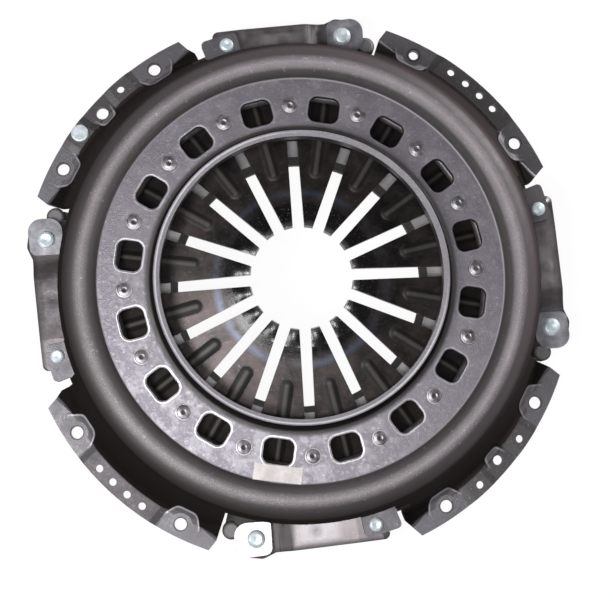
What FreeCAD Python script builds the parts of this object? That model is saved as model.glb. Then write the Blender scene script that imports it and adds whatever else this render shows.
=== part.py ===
import FreeCAD, Part
import math
import os

os.makedirs("parts", exist_ok=True)

Vec = FreeCAD.Vector
axis_z = Vec(0, 0, 1)

# Sizes in millimetres. Z = 0 is the flywheel face that the flange bolts onto,
# +Z points to the gearbox, and +X passes through the middle of a drive strap bay.

# Counts
finger_count = 16
bay_count = 4
leaves_per_strap = 3

# Pressed steel cover, its circles set in from the bolt circle
bolt_circle_r = 225.0
sheet = 5.5
flange_margin = 11.0
flat_ring_z = 60.0
lip_height = 19.0
lip_bend_r = 7.0
crown_inset = 45.5
crown_rise = 4.5
crown_bend_r = 20.0
wall_lean = 22.0
foot_bend_r = 8.0

# Flange holes and pads
bolt_hole_d = 10.5
dowel_hole_d = 8.2
bolt_seat_d = 19.4
balance_offset = 3.6
balance_hole_d = 6.5
bolt_angle = 15.0
pad_rise = 1.6
ramp_length = 6.0
zone_inset = 12.0
zone_edge_angle = 10.0
mid_pad_angle = 3.7

# Flares of the wall towards the ends of each flange sector
flare_start_angle = 17.0
flare_end_angle = 25.6
flare_top_z = 21.0
flare_rise = 2.0
flare_reach = 6.0
flare_foot = 4.0
flare_depth = 4.2

# Windows over the fingers
window_inset = 2.9
lip_inset = 27.0
window_width = 25.0
window_depth = 21.0
window_corner_r = 6.5

# Strap bays in the cover, angles from the middle of the bay
bay_gap = 2.0
bay_roof_z = 48.0
bay_lug_angle = -21.6
bay_shelf_angle = 20.5
bay_shelf_inset = 6.4
bay_lug_offset = 1.0
bay_rim_angle = 22.5
shelf_top_z = 38.0
shelf_start_angle = 10.7
shelf_end_angle = 19.0
shelf_margin = 9.4
shelf_wall_offset = 21.0
shelf_wall_width = 8.0
shelf_root = 3.0
shelf_corner_r = 4.0

# Diaphragm spring
spring_t = 5.0
spring_margin = 6.0
tip_r = 42.0
tip_width = 7.1
cone_angle = 13.37
slot_width = 8.4
eyelet_r = 6.8
sector_gap = 0.4
bead_width = 11.0
bead_height = 1.35
bead_start_r = 83.0
bead_end_inset = 3.5

# Fulcrum of the spring
fulcrum_inset = 26.0
rivet_inset = 9.1
fulcrum_wire_r = 4.0
fulcrum_gap = 0.55
hinge_inset = 1.5
wire_seat_gap = 0.12
rivet_shank_d = 9.0
rivet_shoulder_d = 10.0
rivet_crown_d = 14.0
rivet_crown_depth = 2.2
rivet_crown_proud = 0.4
rivet_dish_d = 10.0
rivet_dish_depth = 0.8
rivet_foot_d = 22.0
rivet_foot_t = 3.0
rivet_fit = 0.05

# Cast pressure plate
friction_z = 5.0
plate_margin = 18.0
plate_bore_r = 103.0
plate_back_z = 20.0
bore_land_z = 13.0
land_inner_r = 108.5
land_outer_r = 122.0
land_z = 22.0
plate_rim_z = 15.0
ridge_reach = 28.5
ridge_half_width = 10.0
ridge_top_r = 6.0
ridge_gap = 0.35
ridge_notch_width = 16.0
ridge_notch_z = 23.0
rib_width = 6.0
rib_length = 32.0
rib_z = 24.0
edge_chamfer = 1.2

# Drive straps, from the cover shelf down to the lug of the plate
shelf_rivet_offset = 30.1
shelf_rivet_angle = 13.56
lug_rivet_offset = 15.8
lug_rivet_angle = -13.35
leaf_t = 1.2
strap_width = 27.0
strap_overhang = 11.0
strap_corner_r = 5.0
strap_bend_r = 14.0
strap_flat = 15.0
strap_slope_drop = 5.0
strap_step_run = 13.0
strap_lug_flat = 17.9
strap_hole_gap = 0.3

# Lugs of the plate, measured from the lug rivet
lug_top_z = 16.4
lug_bottom_z = 6.0
lug_root = 14.0
lug_front = 20.0
lug_front_reach = 11.0
lug_nose = 5.0
lug_nose_reach = 17.5
lug_heel = 11.0
lug_heel_reach = 15.0
lug_back = 17.0
lug_back_reach = 4.0
lug_corner_r = 8.0
boss_x = 202.0
boss_y = -70.0
boss_r = 7.7
boss_top_z = 18.4
boss_edge = 2.5
boss_root = 12.0

# Keeper plates and rivets of the straps
keeper_t = 4.0
keeper_half = 13.6
keeper_front = 12.8
keeper_back = 18.0
keeper_flare = 2.0
keeper_corner_r = 11.0
keeper_square_r = 3.0
lug_rivet_d = 9.0
lug_head_d = 14.7
lug_head_h = 3.8
lug_foot_d = 15.0
lug_foot_t = 3.0
shelf_rivet_d = 8.0
shelf_head_d = 11.5
shelf_head_h = 3.0
shelf_foot_d = 13.0
shelf_foot_t = 3.0
head_dish = 0.7

# Balance rivet in one flange hole
balance_head_d = 15.0
balance_head_t = 2.2
balance_side_angle = 6.5

# Circles that follow from the bolt circle
flange_r = bolt_circle_r + flange_margin
balance_circle_r = bolt_circle_r + balance_offset
crown_r = bolt_circle_r - crown_inset
fulcrum_r = crown_r - fulcrum_inset
rivet_circle_r = fulcrum_r - rivet_inset
window_circle_r = rivet_circle_r - window_inset
lip_r = window_circle_r - lip_inset
hinge_r = fulcrum_r - hinge_inset
bead_end_r = fulcrum_r - bead_end_inset
ridge_r = fulcrum_r + ridge_reach
rib_inner_r = ridge_r - rib_length
spring_r = ridge_r + spring_margin
plate_r = ridge_r + plate_margin
bay_inner_r = spring_r + bay_gap
bay_lug_corner_r = bolt_circle_r + bay_lug_offset
bay_shelf_corner_r = bolt_circle_r - bay_shelf_inset
shelf_rivet_r = crown_r + shelf_rivet_offset
shelf_outer_r = shelf_rivet_r + shelf_margin
shelf_wall_r = crown_r + shelf_wall_offset
lug_rivet_r = plate_r + lug_rivet_offset
zone_inner_x = bolt_circle_r - zone_inset

# Heights and angles that follow
pitch = 360.0 / finger_count
half_pitch = math.radians(pitch / 2)
bay_pitch = 360.0 / bay_count
cone = math.radians(cone_angle)
lean = math.radians(wall_lean)
crown_z = flat_ring_z + crown_rise - crown_bend_r
lip_top_z = flat_ring_z + lip_height
cover_under_z = flat_ring_z - sheet
wire_offset = (spring_t / 2 + fulcrum_gap + fulcrum_wire_r) / math.cos(cone)
upper_wire_z = cover_under_z - wire_seat_gap - fulcrum_wire_r
spring_at_wire_z = upper_wire_z - wire_offset
hinge_z = spring_at_wire_z + (fulcrum_r - hinge_r) * math.tan(cone)
shelf_under_z = shelf_top_z - sheet
strap_t = leaves_per_strap * leaf_t
keeper_z = lug_top_z + strap_t
balance_rivet_angle = 1.5 * bay_pitch + balance_side_angle


def polar(radius, angle_deg, height=0.0):
    """Point at a radius and an angle about the axis."""
    angle = math.radians(angle_deg)
    return Vec(radius * math.cos(angle), radius * math.sin(angle), height)


def turned(shape, angle_deg):
    """Copy of a shape, turned about the axis."""
    copy = shape.copy()
    copy.rotate(Vec(0, 0, 0), axis_z, angle_deg)
    return copy


def arc(centre, radius, start_deg, mid_deg, end_deg):
    """Arc in the XZ plane, by the angles of three points on it."""
    points = []
    for degrees in (start_deg, mid_deg, end_deg):
        angle = math.radians(degrees)
        points.append(centre + Vec(radius * math.cos(angle), 0, radius * math.sin(angle)))
    return Part.Arc(*points).toShape()


def line(first, last):
    """Straight edge between two points."""
    return Part.LineSegment(first, last).toShape()


def revolved(wire, angle_deg=360.0):
    """Solid of revolution of a closed profile about the axis."""
    return Part.Face(wire).revolve(Vec(0, 0, 0), axis_z, angle_deg)


def ring_block(r_in, r_out, z_low, z_high, start_deg, end_deg):
    """Block between two radii, two heights and two angles."""
    corners = [Vec(r_in, 0, z_low), Vec(r_out, 0, z_low), Vec(r_out, 0, z_high), Vec(r_in, 0, z_high)]
    block = revolved(Part.makePolygon(corners + corners[:1]), end_deg - start_deg)
    return turned(block, start_deg)


def rounded_edges(points, radii, closed):
    """Edges of a flat polyline whose corners are rounded to the given radii."""
    count = len(points)
    cuts = []
    for i, point in enumerate(points):
        before = points[i - 1] if (closed or i > 0) else None
        after = points[(i + 1) % count] if (closed or i < count - 1) else None
        if before is None or after is None or radii[i] == 0:
            cuts.append((point, None, point))
            continue
        inward = (before - point).normalize()
        outward = (after - point).normalize()
        half = inward.getAngle(outward) / 2
        reach = radii[i] / math.tan(half)
        middle = (inward + outward).normalize()
        depth = radii[i] / math.sin(half) - radii[i]
        cuts.append((point + inward * reach, point + middle * depth, point + outward * reach))
    edges = []
    for i, (start, middle, end) in enumerate(cuts):
        if middle is not None:
            edges.append(Part.Arc(start, middle, end).toShape())
        if closed or i < count - 1:
            edges.append(line(end, cuts[(i + 1) % count][0]))
    return edges


def rounded_prism(points, radii, z_low, z_high):
    """Upright prism over a rounded outline."""
    flat = [Vec(x, y, z_low) for x, y in points]
    face = Part.Face(Part.Wire(rounded_edges(flat, radii, True)))
    return face.extrude(Vec(0, 0, z_high - z_low))


def rounded_rectangle(width_x, width_y, radius, height):
    """Closed wire of a rounded rectangle about the origin."""
    x = width_x / 2
    y = width_y / 2
    corners = [Vec(x, y, height), Vec(-x, y, height), Vec(-x, -y, height), Vec(x, -y, height)]
    return Part.Wire(rounded_edges(corners, [radius] * 4, True))


# Cover

def wall_radius(height):
    """Radius of the outside of the leaning wall at a height."""
    top_r = crown_r + crown_bend_r * math.cos(lean)
    top_z = crown_z + crown_bend_r * math.sin(lean)
    return top_r + (top_z - height) * math.tan(lean)


def cover_shell():
    """Revolved sheet: lip, flat ring, crown, leaning wall and flange."""
    crown = Vec(crown_r, 0, crown_z)
    upper_start = 180 - math.degrees(math.asin((flat_ring_z - crown_z) / crown_bend_r))
    inner_bend = crown_bend_r - sheet
    lower_start = 180 - math.degrees(math.asin((cover_under_z - crown_z) / inner_bend))
    normal = Vec(math.cos(lean), 0, math.sin(lean))
    wall_top = crown + normal * crown_bend_r
    foot_z = sheet + foot_bend_r
    foot_x = wall_top.x + (foot_bend_r - (foot_z - wall_top.z) * math.sin(lean)) / math.cos(lean)
    foot = Vec(foot_x, 0, foot_z)
    lip_bend = Vec(lip_r + sheet + lip_bend_r, 0, flat_ring_z + lip_bend_r)
    foot_mid = (180 + wall_lean + 270) / 2

    upper = [
        line(Vec(lip_r, 0, lip_top_z), Vec(lip_r + sheet, 0, lip_top_z)),
        line(Vec(lip_r + sheet, 0, lip_top_z), Vec(lip_r + sheet, 0, lip_bend.z)),
        arc(lip_bend, lip_bend_r, 180, 225, 270),
        line(Vec(lip_bend.x, 0, flat_ring_z), crown + Vec(
            crown_bend_r * math.cos(math.radians(upper_start)), 0, flat_ring_z - crown_z)),
        arc(crown, crown_bend_r, upper_start, 90, wall_lean),
        line(wall_top, foot - normal * foot_bend_r),
        arc(foot, foot_bend_r, 180 + wall_lean, foot_mid, 270),
        line(Vec(foot.x, 0, sheet), Vec(flange_r, 0, sheet)),
        line(Vec(flange_r, 0, sheet), Vec(flange_r, 0, 0)),
    ]
    lower = [
        line(Vec(flange_r, 0, 0), Vec(foot.x, 0, 0)),
        arc(foot, foot_bend_r + sheet, 270, foot_mid, 180 + wall_lean),
        line(foot - normal * (foot_bend_r + sheet), crown + normal * inner_bend),
        arc(crown, inner_bend, wall_lean, 90, lower_start),
        line(crown + Vec(inner_bend * math.cos(math.radians(lower_start)), 0, cover_under_z - crown_z),
             Vec(lip_bend.x, 0, cover_under_z)),
        arc(lip_bend, lip_bend_r + sheet, 270, 225, 180),
        line(Vec(lip_r, 0, lip_bend.z), Vec(lip_r, 0, lip_top_z)),
    ]
    return revolved(Part.Wire(Part.__sortEdges__(upper + lower)))


def window_cutter():
    """Rounded square window through the flat ring."""
    outline = Part.Face(rounded_rectangle(window_depth, window_width, window_corner_r, 0))
    cutter = outline.extrude(Vec(0, 0, flat_ring_z + sheet))
    cutter.translate(Vec(window_circle_r, 0, 0))
    return cutter


def crown_seat_cutter():
    """Countersunk hole in the flat ring for one fulcrum rivet."""
    hole = Part.makeCylinder(rivet_shank_d / 2 + rivet_fit, 2 * sheet, Vec(0, 0, cover_under_z - 1))
    seat = Part.makeCone(rivet_shank_d / 2 + rivet_fit, rivet_crown_d / 2 + rivet_fit,
                         rivet_crown_depth, Vec(0, 0, flat_ring_z - rivet_crown_depth))
    return hole.fuse(seat)


def bay_cutter():
    """Opening between two flange sectors, with the roof of the strap bay."""
    far_r = flange_r + 10
    outline = [
        polar(bay_inner_r, bay_lug_angle), polar(bay_lug_corner_r, bay_lug_angle),
        polar(flange_r, -bay_rim_angle), polar(far_r, -bay_rim_angle - 1),
        polar(far_r, bay_rim_angle + 1), polar(flange_r, bay_rim_angle),
        polar(bay_shelf_corner_r, bay_shelf_angle), polar(bay_inner_r, bay_shelf_angle),
    ]
    face = Part.Face(Part.makePolygon([p - Vec(0, 0, 1) for p in outline + outline[:1]]))
    low = face.extrude(Vec(0, 0, shelf_under_z + 1))
    high = ring_block(bay_inner_r, far_r, shelf_under_z - 1, bay_roof_z, bay_lug_angle, shelf_start_angle)
    inner_wall = ring_block(bay_inner_r, far_r, -1, shelf_under_z, bay_lug_angle, bay_shelf_angle)
    return low.fuse([high, inner_wall])


def strap_shelf():
    """Flat ear of the cover that carries the upper end of a strap."""
    wall_side_r = crown_r + crown_bend_r - sheet + shelf_root
    corners = [
        polar(wall_side_r, shelf_start_angle), polar(shelf_outer_r, shelf_start_angle),
        polar(shelf_outer_r, shelf_end_angle), polar(wall_side_r, shelf_end_angle),
    ]
    ear = rounded_prism([(p.x, p.y) for p in corners], [0, shelf_corner_r, shelf_corner_r, 0],
                        shelf_under_z, shelf_top_z)
    bridge = ring_block(wall_side_r + shelf_root, wall_side_r + 3 * shelf_root, shelf_under_z, shelf_top_z,
                        shelf_end_angle - 2, bay_shelf_angle + 2)
    return ear.fuse(bridge)


def raised_zone(start_deg, end_deg):
    """Flange strip between pads, pressed up by pad_rise, with a ramp at each end."""
    middle = (start_deg + end_deg) / 2
    half = bolt_circle_r * math.radians((end_deg - start_deg) / 2)
    top = [Vec(0, -half - ramp_length / 2, 0), Vec(0, -half + ramp_length / 2, pad_rise),
           Vec(0, half - ramp_length / 2, pad_rise), Vec(0, half + ramp_length / 2, 0)]
    profile = Part.Face(Part.makePolygon(top + top[:1]))
    strip = profile.extrude(Vec(flange_r - zone_inner_x + 10, 0, 0))
    strip.translate(Vec(zone_inner_x, 0, 0))
    return turned(strip, middle)


def flange_zones(sector, centre_deg):
    """Raised strips of one flange sector, as start and end angles."""
    if sector % 2 == 0:
        return [(centre_deg - zone_edge_angle, centre_deg + zone_edge_angle)]
    return [(centre_deg - zone_edge_angle, centre_deg - mid_pad_angle),
            (centre_deg + mid_pad_angle, centre_deg + zone_edge_angle)]


def sector_flare(side):
    """Wedge by which the wall spreads over the flange towards one end of a sector."""
    foot_r = bolt_circle_r - flare_foot
    wall_r = wall_radius(flare_top_z)
    low_z = sheet * 0.9
    root_z = sheet * 0.55
    start = polar(foot_r, side * flare_start_angle, root_z)
    end = [polar(bolt_circle_r + flare_reach, side * flare_end_angle, low_z),
           polar(foot_r - flare_reach, side * flare_end_angle, root_z),
           polar(wall_r - flare_depth, side * flare_end_angle, flare_top_z),
           polar(wall_r + flare_rise, side * flare_end_angle, flare_top_z)]
    faces = [Part.Face(Part.makePolygon(end + end[:1]))]
    for first, second in zip(end, end[1:] + end[:1]):
        faces.append(Part.Face(Part.makePolygon([start, first, second, start])))
    flare = Part.makeSolid(Part.makeShell(faces))
    if flare.Volume < 0:
        flare.reverse()
    return flare


def flange_hole(radius, angle_deg, diameter):
    """Cutter for one round hole through the flange."""
    return Part.makeCylinder(diameter / 2, 4 * sheet, polar(radius, angle_deg, -sheet))


def flange_cutters(sector, centre_deg):
    """Bolt, dowel and balance holes of one flange sector."""
    cutters = []
    for side in (-bolt_angle, bolt_angle):
        fitted = sector == 0 and side > 0
        diameter = dowel_hole_d if fitted else bolt_hole_d
        cutters.append(flange_hole(bolt_circle_r, centre_deg + side, diameter))
        cutters.append(Part.makeCylinder(bolt_seat_d / 2, 3 * sheet,
                                         polar(bolt_circle_r, centre_deg + side, sheet)))
    if sector % 2 == 0:
        offsets = (-6.0, -2.0, 2.0, 6.0)
    else:
        offsets = (-6.5, 6.5)
        middle_d = bolt_hole_d if sector == 1 else dowel_hole_d
        cutters.append(flange_hole(bolt_circle_r, centre_deg, middle_d))
    for offset in offsets:
        cutters.append(flange_hole(balance_circle_r, centre_deg + offset, balance_hole_d))
    return cutters


def make_cover():
    """Stamped cover with windows, strap bays, shelves, pads and holes."""
    cover = cover_shell()
    rim = Part.makeCylinder(flange_r, 3 * sheet, Vec(0, 0, -sheet))
    for k in range(bay_count):
        centre = bay_pitch * (k + 0.5)
        for start, end in flange_zones(k, centre):
            strip = raised_zone(start, end)
            lifted = strip.copy()
            lifted.translate(Vec(0, 0, sheet))
            cover = cover.fuse(lifted.common(rim)).cut(strip)
        flares = [turned(sector_flare(side), centre) for side in (-1, 1)]
        cover = cover.fuse(flares)
    cutters = []
    shelves = []
    for k in range(bay_count):
        bay_angle = bay_pitch * k
        cutters.append(turned(bay_cutter(), bay_angle))
        shelves.append(turned(strap_shelf(), bay_angle))
    cover = cover.cut(cutters).fuse(shelves)
    cutters = []
    for k in range(bay_count):
        bay_angle = bay_pitch * k
        pocket = ring_block(shelf_wall_r, shelf_wall_r + shelf_wall_width, shelf_top_z, bay_roof_z,
                            shelf_start_angle, shelf_end_angle)
        cutters.append(turned(pocket, bay_angle))
        rivet_at = polar(shelf_rivet_r, shelf_rivet_angle + bay_angle, shelf_under_z - 1)
        cutters.append(Part.makeCylinder(shelf_rivet_d / 2 + rivet_fit, 3 * sheet, rivet_at))
        cutters += flange_cutters(k, bay_angle + bay_pitch / 2)
    window = window_cutter()
    seat = crown_seat_cutter()
    seat.translate(Vec(rivet_circle_r, 0, 0))
    for k in range(finger_count):
        cutters.append(turned(window, pitch * (k + 0.5)))
        cutters.append(turned(seat, pitch * k))
    return cover.cut(cutters)


# Diaphragm spring and its fulcrum

def along_cone(plan_r):
    """Distance along the cone from the hinge line to a plan radius."""
    return (plan_r - hinge_r) / math.cos(cone)


def bead_bar(drop):
    """Round-ended bar whose top forms the stiffening bead of a finger."""
    radius = ((bead_width / 2) ** 2 + bead_height ** 2) / (2 * bead_height)
    height = spring_t / 2 + bead_height - radius - drop
    start = along_cone(bead_start_r) + bead_width / 2
    end = along_cone(bead_end_r) - bead_width / 2
    bar = Part.makeCylinder(radius, end - start, Vec(start, 0, height), Vec(1, 0, 0))
    first = Part.makeSphere(radius, Vec(start, 0, height))
    last = Part.makeSphere(radius, Vec(end, 0, height))
    return bar.fuse([first, last])


def tilted(shape):
    """Lay a flat-built shape onto the cone of the spring."""
    shape.rotate(Vec(0, 0, 0), Vec(0, 1, 0), cone_angle)
    shape.translate(Vec(hinge_r, 0, hinge_z))
    return shape


def slot_cutter():
    """Half slots beside a finger: wide to the rivet, with an eyelet, then a fine split."""
    tip_half = tip_r * math.sin(half_pitch) - tip_width / 2
    outline = [Vec(0, 0, 0), Vec(0, tip_half, 0), Vec(tip_r, tip_half, 0),
               Vec(rivet_circle_r, slot_width / 2, 0), Vec(rivet_circle_r, sector_gap / 2, 0),
               Vec(spring_r + 5, sector_gap / 2, 0)]
    mirror = [Vec(p.x, -p.y, 0) for p in reversed(outline)]
    wire = Part.makePolygon(outline + mirror)
    slot = Part.Face(wire).extrude(Vec(0, 0, 2 * flat_ring_z))
    return slot.fuse(Part.makeCylinder(eyelet_r, 2 * flat_ring_z, Vec(rivet_circle_r, 0, 0)))


def make_finger():
    """One finger of the spring with its share of the outer ring, on the +X side."""
    inner = along_cone(tip_r)
    outer = along_cone(spring_r)
    section = [Vec(inner, 0, -spring_t / 2), Vec(outer, 0, -spring_t / 2),
               Vec(outer, 0, spring_t / 2), Vec(inner, 0, spring_t / 2)]
    wire = tilted(Part.makePolygon(section + section[:1]))
    blade = turned(revolved(wire, pitch), -pitch / 2)
    slot = slot_cutter()
    blade = blade.cut([turned(slot, -pitch / 2), turned(slot, pitch / 2)])
    above = Part.makeBox(2 * spring_r, 2 * bead_width, 2 * spring_t, Vec(-spring_r, -bead_width, 0))
    bead = tilted(bead_bar(0).common(above))
    groove = tilted(bead_bar(spring_t))
    return blade.fuse(bead).cut(groove).removeSplitter()


def make_fulcrum_ring(side):
    """Round wire ring above (+1) or below (-1) the spring."""
    height = spring_at_wire_z + side * wire_offset
    return Part.makeTorus(fulcrum_r, fulcrum_wire_r, Vec(0, 0, height))


def make_fulcrum_rivets():
    """Shouldered rivets that hang the spring and both wire rings from the cover."""
    foot_top = spring_at_wire_z - wire_offset - fulcrum_wire_r - wire_seat_gap
    top = flat_ring_z + rivet_crown_proud
    seat_z = flat_ring_z - rivet_crown_depth
    outline = [
        (0, foot_top - rivet_foot_t), (rivet_foot_d / 2 - 1, foot_top - rivet_foot_t),
        (rivet_foot_d / 2, foot_top - rivet_foot_t + 1), (rivet_foot_d / 2, foot_top),
        (rivet_shoulder_d / 2, foot_top), (rivet_shoulder_d / 2, cover_under_z - rivet_fit),
        (rivet_shank_d / 2, cover_under_z - rivet_fit), (rivet_shank_d / 2, seat_z),
        (rivet_crown_d / 2, flat_ring_z), (rivet_crown_d / 2 - 0.3, top),
        (rivet_dish_d / 2 + 0.4, top), (rivet_dish_d / 2, top - rivet_dish_depth),
        (1.4, top - rivet_dish_depth), (0, top - 2 * rivet_dish_depth),
    ]
    points = [Vec(r, 0, z) for r, z in outline]
    rivet = revolved(Part.makePolygon(points + points[:1]))
    rivet.translate(Vec(rivet_circle_r, 0, 0))
    return [turned(rivet, pitch * k) for k in range(finger_count)]


# Pressure plate

def ridge_top_z():
    """Height of the plate's ridge, just under the spring."""
    lever = ridge_r - hinge_r
    return hinge_z - lever * math.tan(cone) - spring_t / 2 / math.cos(cone) - ridge_gap


def plate_ring():
    """Revolved ring: friction face, land round the bore, back and fulcrum ridge."""
    top = ridge_top_z()
    shoulder = top - ridge_top_r
    crest_half = ridge_top_r * math.cos(math.radians(30))
    crest_z = shoulder + ridge_top_r * math.sin(math.radians(30))
    points = [
        (plate_bore_r + edge_chamfer, friction_z), (plate_bore_r, friction_z + edge_chamfer),
        (plate_bore_r, bore_land_z), (land_inner_r, land_z), (land_outer_r, land_z),
        (land_outer_r + 2, plate_back_z), (ridge_r - ridge_half_width, plate_back_z),
        (ridge_r - crest_half, crest_z),
    ]
    after = [
        (ridge_r + crest_half, crest_z), (ridge_r + ridge_half_width, plate_back_z),
        (plate_r, plate_rim_z), (plate_r, friction_z + edge_chamfer),
        (plate_r - edge_chamfer, friction_z),
    ]
    first = [Vec(r, 0, z) for r, z in points]
    last = [Vec(r, 0, z) for r, z in after]
    edges = [line(a, b) for a, b in zip(first, first[1:])]
    edges.append(Part.Arc(first[-1], Vec(ridge_r, 0, top), last[0]).toShape())
    edges += [line(a, b) for a, b in zip(last, last[1:])]
    edges.append(line(last[-1], first[0]))
    return revolved(Part.Wire(edges))


def plate_lug():
    """Cast ear that carries the lower end of a strap, with its round boss."""
    ear_x = lug_rivet_r * math.cos(math.radians(lug_rivet_angle))
    ear_y = lug_rivet_r * math.sin(math.radians(lug_rivet_angle))
    root_x = plate_r - lug_root
    outline = [
        (root_x, ear_y + lug_front), (ear_x + lug_front_reach, ear_y + lug_front),
        (ear_x + lug_nose_reach, ear_y + lug_nose), (ear_x + lug_heel_reach, ear_y - lug_heel),
        (ear_x + lug_back_reach, ear_y - lug_back), (root_x, ear_y - lug_back),
    ]
    rounds = [0] + [lug_corner_r] * 3 + [lug_corner_r * 0.75, 0]
    ear = rounded_prism(outline, rounds, lug_bottom_z, lug_top_z)
    boss = Part.makeCylinder(boss_r, boss_top_z - lug_bottom_z, Vec(boss_x, boss_y, lug_bottom_z))
    edge_at = Vec(boss_x, boss_y, boss_top_z - boss_edge)
    tip = Part.makeCone(boss_r, boss_r - boss_edge, boss_edge, edge_at)
    collar = Part.makeCylinder(2 * boss_r, boss_edge, edge_at)
    outline = [(root_x, boss_y - boss_r / 4), (boss_x, boss_y - boss_r + edge_chamfer),
               (boss_x, boss_y + boss_root), (root_x, boss_y + boss_root)]
    root = rounded_prism(outline, [0, 0, 0, 0], lug_bottom_z, bore_land_z)
    return ear.fuse([boss.cut(collar.cut(tip)), root])


def make_pressure_plate():
    """Cast iron plate with notched ridge, ribs and four strap lugs."""
    plate = plate_ring()
    ribs = []
    lugs = []
    rib_reach = ridge_r - ridge_half_width / 2
    rib = Part.makeBox(rib_reach - rib_inner_r, rib_width, rib_z - plate_back_z + 2,
                       Vec(rib_inner_r, -rib_width / 2, plate_back_z - 2))
    for k in range(finger_count):
        ribs.append(turned(rib, pitch * (k + 0.5)))
    for k in range(bay_count):
        lugs.append(turned(plate_lug(), bay_pitch * k))
    plate = plate.fuse(ribs + lugs)
    cutters = []
    notch = Part.makeBox(2 * ridge_half_width + 2, ridge_notch_width, plate_back_z,
                         Vec(ridge_r - ridge_half_width - 1, -ridge_notch_width / 2, ridge_notch_z))
    for k in range(finger_count):
        cutters.append(turned(notch, pitch * k))
    for k in range(bay_count):
        at = polar(lug_rivet_r, lug_rivet_angle + bay_pitch * k)
        cutters.append(Part.makeCylinder(lug_rivet_d / 2 + rivet_fit, 2 * lug_top_z, at))
        cutters.append(Part.makeCylinder(lug_foot_d / 2 + rivet_fit, lug_foot_t + 1,
                                         at + Vec(0, 0, lug_bottom_z - 0.5)))
    return plate.cut(cutters)


# Drive straps

def strap_frame():
    """Rivet places of the strap in bay 0, its length and its heading."""
    upper = polar(shelf_rivet_r, shelf_rivet_angle)
    lower = polar(lug_rivet_r, lug_rivet_angle)
    run = lower - upper
    return upper, run.Length, math.degrees(math.atan2(run.y, run.x))


def strap_leaf(index):
    """One spring leaf, bent from the shelf down to the lug."""
    upper, length, heading = strap_frame()
    high = shelf_under_z - strap_t + index * leaf_t
    low = lug_top_z + index * leaf_t
    step_end = length - strap_lug_flat
    side = [Vec(-strap_overhang, 0, high), Vec(strap_flat, 0, high),
            Vec(step_end - strap_step_run, 0, high - strap_slope_drop), Vec(step_end, 0, low),
            Vec(length + strap_overhang, 0, low)]
    under = rounded_edges(side, [0, strap_bend_r, strap_bend_r, strap_bend_r, 0], False)
    over = [edge.translated(Vec(0, 0, leaf_t)) for edge in under]
    lift = Vec(0, 0, leaf_t)
    ends = [line(side[0], side[0] + lift), line(side[-1], side[-1] + lift)]
    wire = Part.Wire(Part.__sortEdges__(under + over + ends))
    leaf = Part.Face(wire).extrude(Vec(0, strap_width, 0))
    leaf.translate(Vec(0, -strap_width / 2, 0))
    outline = Part.Face(rounded_rectangle(length + 2 * strap_overhang, strap_width, strap_corner_r, 0))
    outline = outline.extrude(Vec(0, 0, 2 * shelf_top_z))
    outline.translate(Vec(length / 2, 0, 0))
    leaf = leaf.common(outline)
    holes = [Part.makeCylinder(shelf_rivet_d / 2 + rivet_fit, 2 * shelf_top_z),
             Part.makeCylinder(lug_rivet_d / 2 + strap_hole_gap, 2 * shelf_top_z, Vec(length, 0, 0))]
    leaf = leaf.cut(holes)
    leaf.rotate(Vec(0, 0, 0), axis_z, heading)
    leaf.translate(upper)
    return leaf


def keeper_plate():
    """Plate between the strap and the head of the lug rivet."""
    at = polar(lug_rivet_r, lug_rivet_angle)
    outline = [(at.x - keeper_half, at.y + keeper_front), (at.x + keeper_half, at.y + keeper_front),
               (at.x + keeper_half + keeper_flare, at.y - keeper_back),
               (at.x - keeper_half, at.y - keeper_back)]
    radii = [keeper_square_r, keeper_square_r * 2, keeper_corner_r, keeper_corner_r]
    plate = rounded_prism(outline, radii, keeper_z, keeper_z + keeper_t)
    return plate.cut(Part.makeCylinder(lug_rivet_d / 2 + rivet_fit, 2 * shelf_top_z, at))


def dished_head(diameter, height, shank_d):
    """Half profile of a rivet head with a shallow dish, from the seat upwards."""
    return [(shank_d / 2, 0), (diameter / 2, 0), (diameter / 2, height * 0.35),
            (diameter / 2 - height * 0.3, height * 0.8), (diameter / 3.2, height),
            (diameter / 6, height - head_dish * 0.4), (0, height - head_dish)]


def strap_rivet(shank_d, head_d, head_h, head_z, foot_d, foot_t, foot_z):
    """Rivet with a dished head above head_z and a flat foot below foot_z."""
    outline = [(0, foot_z - foot_t), (foot_d / 2, foot_z - foot_t), (foot_d / 2, foot_z),
               (shank_d / 2, foot_z)]
    outline += [(r, head_z + z) for r, z in dished_head(head_d, head_h, shank_d)]
    points = [Vec(r, 0, z) for r, z in outline]
    return revolved(Part.makePolygon(points + points[:1]))


def make_lug_rivets():
    """Rivets that clamp keeper, strap and lug together."""
    rivet = strap_rivet(lug_rivet_d, lug_head_d, lug_head_h, keeper_z + keeper_t,
                        lug_foot_d, lug_foot_t, lug_bottom_z + lug_foot_t + 0.5)
    rivet.translate(polar(lug_rivet_r, lug_rivet_angle))
    return [turned(rivet, bay_pitch * k) for k in range(bay_count)]


def make_shelf_rivets():
    """Rivets that hold the straps under the cover shelves."""
    rivet = strap_rivet(shelf_rivet_d, shelf_head_d, shelf_head_h, shelf_top_z,
                        shelf_foot_d, shelf_foot_t, shelf_under_z - strap_t)
    rivet.translate(polar(shelf_rivet_r, shelf_rivet_angle))
    return [turned(rivet, bay_pitch * k) for k in range(bay_count)]


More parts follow.
